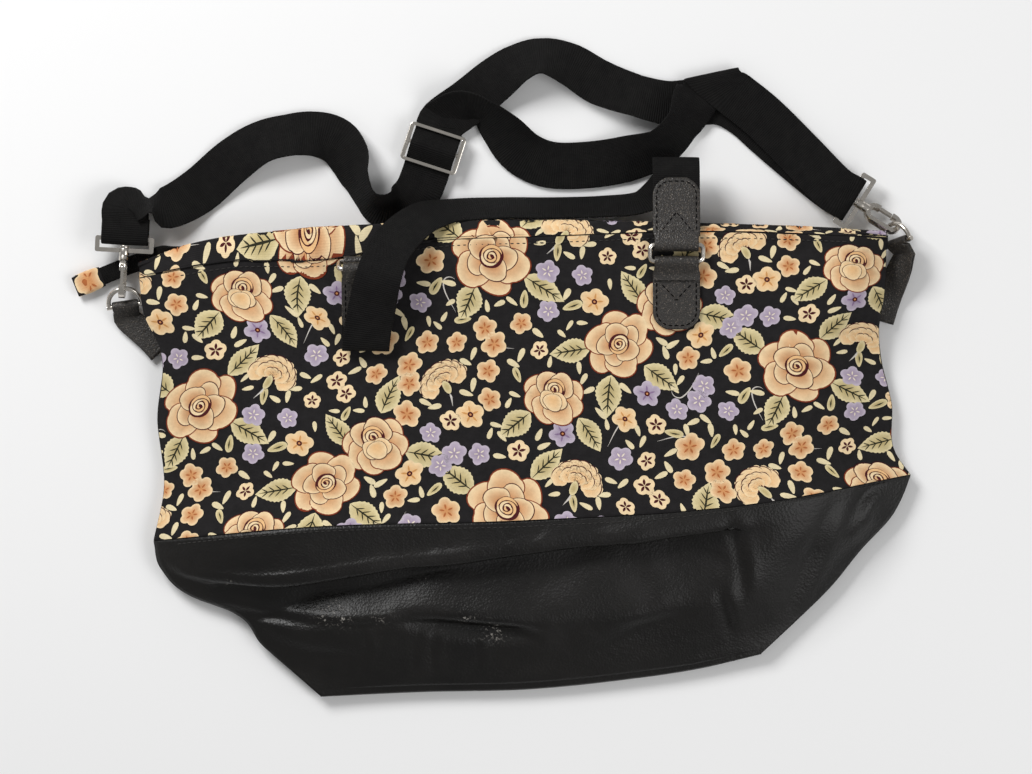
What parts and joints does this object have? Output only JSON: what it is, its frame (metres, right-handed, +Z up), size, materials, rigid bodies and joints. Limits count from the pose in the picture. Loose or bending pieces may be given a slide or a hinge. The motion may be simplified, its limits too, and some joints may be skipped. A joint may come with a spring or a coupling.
{
  "type": "tote bag",
  "caption": "Empty weekender tote lying on its back: printed canvas over a collapsed leather base, recessed zip, webbing handles on rings and a clip-on adjustable shoulder strap.",
  "frame": {"origin": "on the floor under the middle of the bag, on the flat lower part of the back panel", "axes": "+X across the bag, +Y from the base to the top, +Z up out of the front panel"},
  "size_m": [0.5757, 0.4507, 0.0645],
  "materials": {
    "canvas": "black cotton canvas with a floral print",
    "base_leather": "black grained faux leather with a soft sheen",
    "zip_tape": "black woven zip tape and coil",
    "tab_leather": "dark grey grained leather with a fine glitter",
    "webbing": "black ribbed webbing",
    "nickel": "nickel-plated steel, slightly worn"
  },
  "bodies": {
    "bag": {"front_panel": "canvas", "back_panel": "canvas", "front_zip_facing": "canvas", "back_zip_facing": "canvas", "zip_end_tab": "canvas", "leather_base": "base_leather", "zip_tape_front": "zip_tape", "zip_tape_back": "zip_tape", "zip_tail": "zip_tape", "anchor_tab_front_left": "tab_leather", "anchor_tab_front_right": "tab_leather", "anchor_tab_back_left": "tab_leather", "anchor_tab_back_right": "tab_leather", "end_tab_front_left": "tab_leather", "end_tab_front_right": "tab_leather", "end_tab_back_left": "tab_leather", "end_tab_back_right": "tab_leather", "side_loop_left": "tab_leather", "side_loop_right": "tab_leather", "front_handle": "webbing", "back_handle": "webbing", "shoulder_strap": "webbing", "strap_slider": "nickel", "strap_eye_left": "nickel", "strap_eye_right": "nickel"},
    "zip_slider": {"zip_slider": "nickel"},
    "zip_pull": {"zip_pull": "nickel"},
    "handle_ring_front_left": {"handle_ring_front_left": "nickel"},
    "handle_ring_front_right": {"handle_ring_front_right": "nickel"},
    "handle_ring_back_left": {"handle_ring_back_left": "nickel"},
    "handle_ring_back_right": {"handle_ring_back_right": "nickel"},
    "d_ring_left": {"d_ring_left": "nickel"},
    "hook_left": {"hook_left": "nickel"},
    "gate_left": {"gate_left": "nickel"},
    "d_ring_right": {"d_ring_right": "nickel"},
    "hook_right": {"hook_right": "nickel"},
    "gate_right": {"gate_right": "nickel"}
  },
  "joints": [
    {"name": "zip_slide", "type": "slide", "parent": "bag", "child": "zip_slider", "axis": [-1, 0, 0], "range_m": [0, 0.34]},
    {"name": "zip_pull_swing", "type": "hinge", "parent": "zip_slider", "child": "zip_pull", "pos_m": [0.126, 0.1505, 0.024], "axis": [0, 0, 1], "range_deg": [0, 170]},
    {"name": "handle_ring_front_left_rock", "type": "hinge", "parent": "bag", "child": "handle_ring_front_left", "pos_m": [-0.111, 0.136, 0.041], "axis": [1, 0, 0], "range_deg": [-6, 6]},
    {"name": "handle_ring_front_right_rock", "type": "hinge", "parent": "bag", "child": "handle_ring_front_right", "pos_m": [0.099, 0.136, 0.041], "axis": [1, 0, 0], "range_deg": [-6, 6]},
    {"name": "handle_ring_back_left_rock", "type": "hinge", "parent": "bag", "child": "handle_ring_back_left", "pos_m": [-0.111, 0.136, 0.007], "axis": [1, 0, 0], "range_deg": [-6, 6]},
    {"name": "handle_ring_back_right_rock", "type": "hinge", "parent": "bag", "child": "handle_ring_back_right", "pos_m": [0.099, 0.136, 0.007], "axis": [1, 0, 0], "range_deg": [-6, 6]},
    {"name": "d_ring_left_swing", "type": "hinge", "parent": "bag", "child": "d_ring_left", "pos_m": [-0.27619, 0.10663, 0.0084], "axis": [-0.9903, -0.1392, 0], "range_deg": [-5, 5]},
    {"name": "hook_left_swivel", "type": "hinge", "parent": "bag", "child": "hook_left", "pos_m": [-0.276, 0.152, 0.015], "axis": [-0.0523, -0.9986, 0], "range_deg": [-15, 15]},
    {"name": "gate_left_open", "type": "hinge", "parent": "hook_left", "child": "gate_left", "pos_m": [-0.27702, 0.13253, 0.02085], "axis": [0.9986, -0.0523, 0], "range_deg": [0, 22], "stiffness_Nm_per_rad": 0.02},
    {"name": "d_ring_right_swing", "type": "hinge", "parent": "bag", "child": "d_ring_right", "pos_m": [0.25143, 0.14953, 0.011], "axis": [-0.6288, -0.2289, -0.7431], "range_deg": [-5, 0]},
    {"name": "hook_right_swivel", "type": "hinge", "parent": "bag", "child": "hook_right", "pos_m": [0.218, 0.18, 0.011], "axis": [0.848, -0.5299, 0], "range_deg": [0, 10]},
    {"name": "gate_right_open", "type": "hinge", "parent": "hook_right", "child": "gate_right", "pos_m": [0.23708, 0.17373, 0.00764], "axis": [-0.3039, -0.4864, -0.8192], "range_deg": [0, 22], "stiffness_Nm_per_rad": 0.02}
  ]
}
